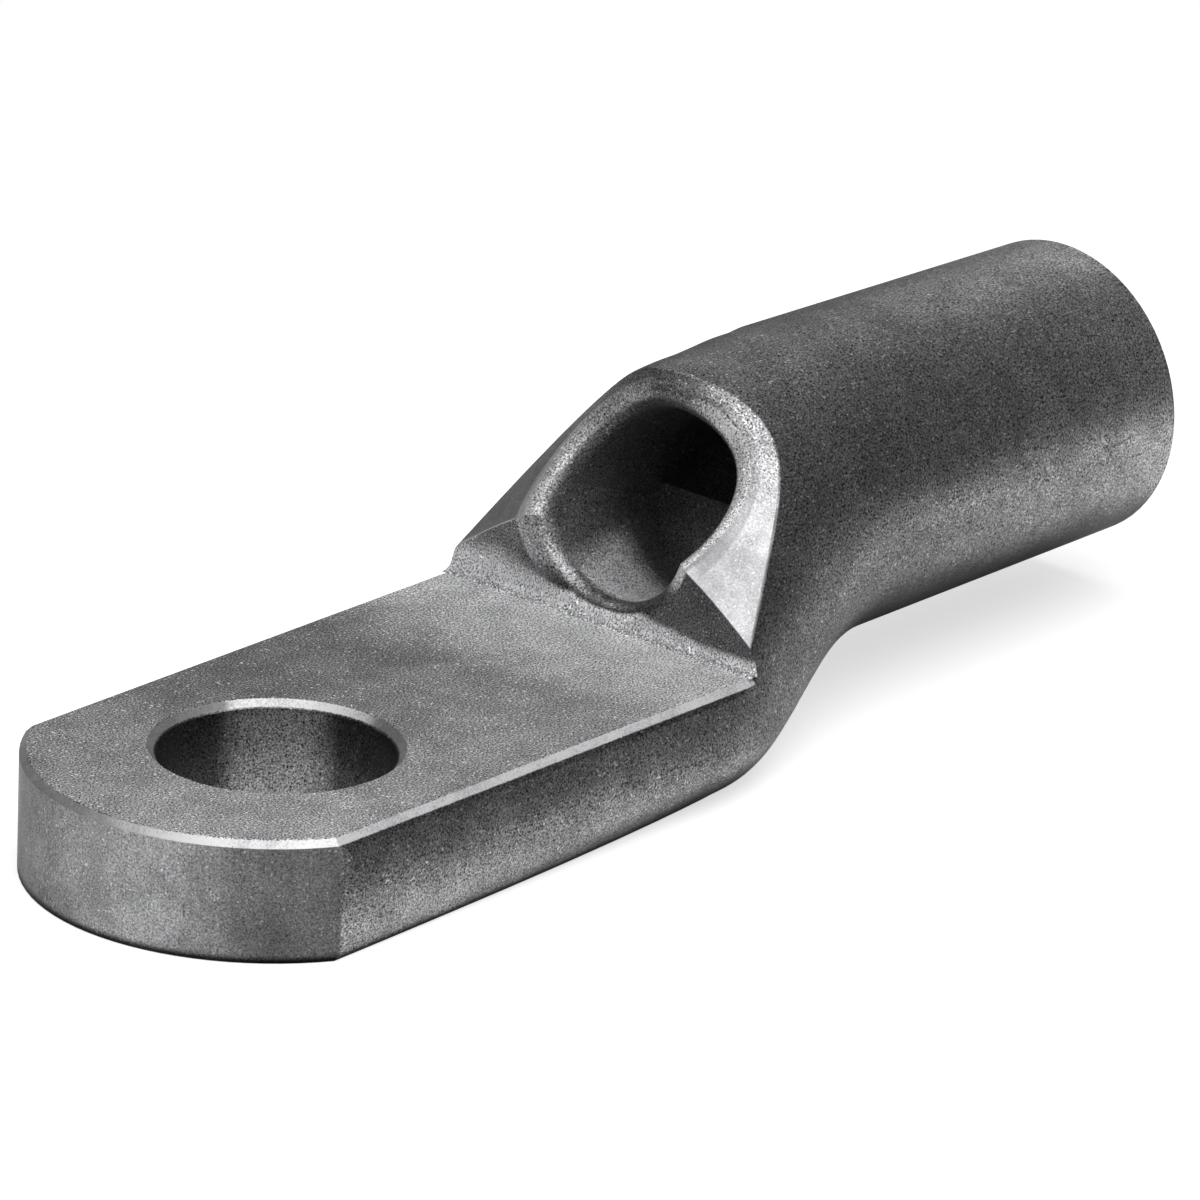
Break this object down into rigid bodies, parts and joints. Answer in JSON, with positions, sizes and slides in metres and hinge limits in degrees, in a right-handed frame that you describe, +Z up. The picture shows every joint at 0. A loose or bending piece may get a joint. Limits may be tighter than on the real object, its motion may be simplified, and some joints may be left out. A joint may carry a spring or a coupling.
{
  "type": "compression cable lug",
  "caption": "Compression lug: a flat palm with a bolt hole swells through a milled shoulder with an inspection opening into a round barrel for a stranded cable.",
  "frame": {"origin": "centre of the bolt hole on the underside of the palm, the face that seats on the terminal", "axes": "+X along the barrel towards its open end, +Z up out of the palm's upper face, Y across the palm"},
  "size_m": [0.1035, 0.0314, 0.0262],
  "materials": {
    "lug_metal": "satin, mottled and slightly grainy, with brighter milled edges"
  },
  "bodies": {
    "root": {"lug_body": "lug_metal"}
  },
  "joints": []
}
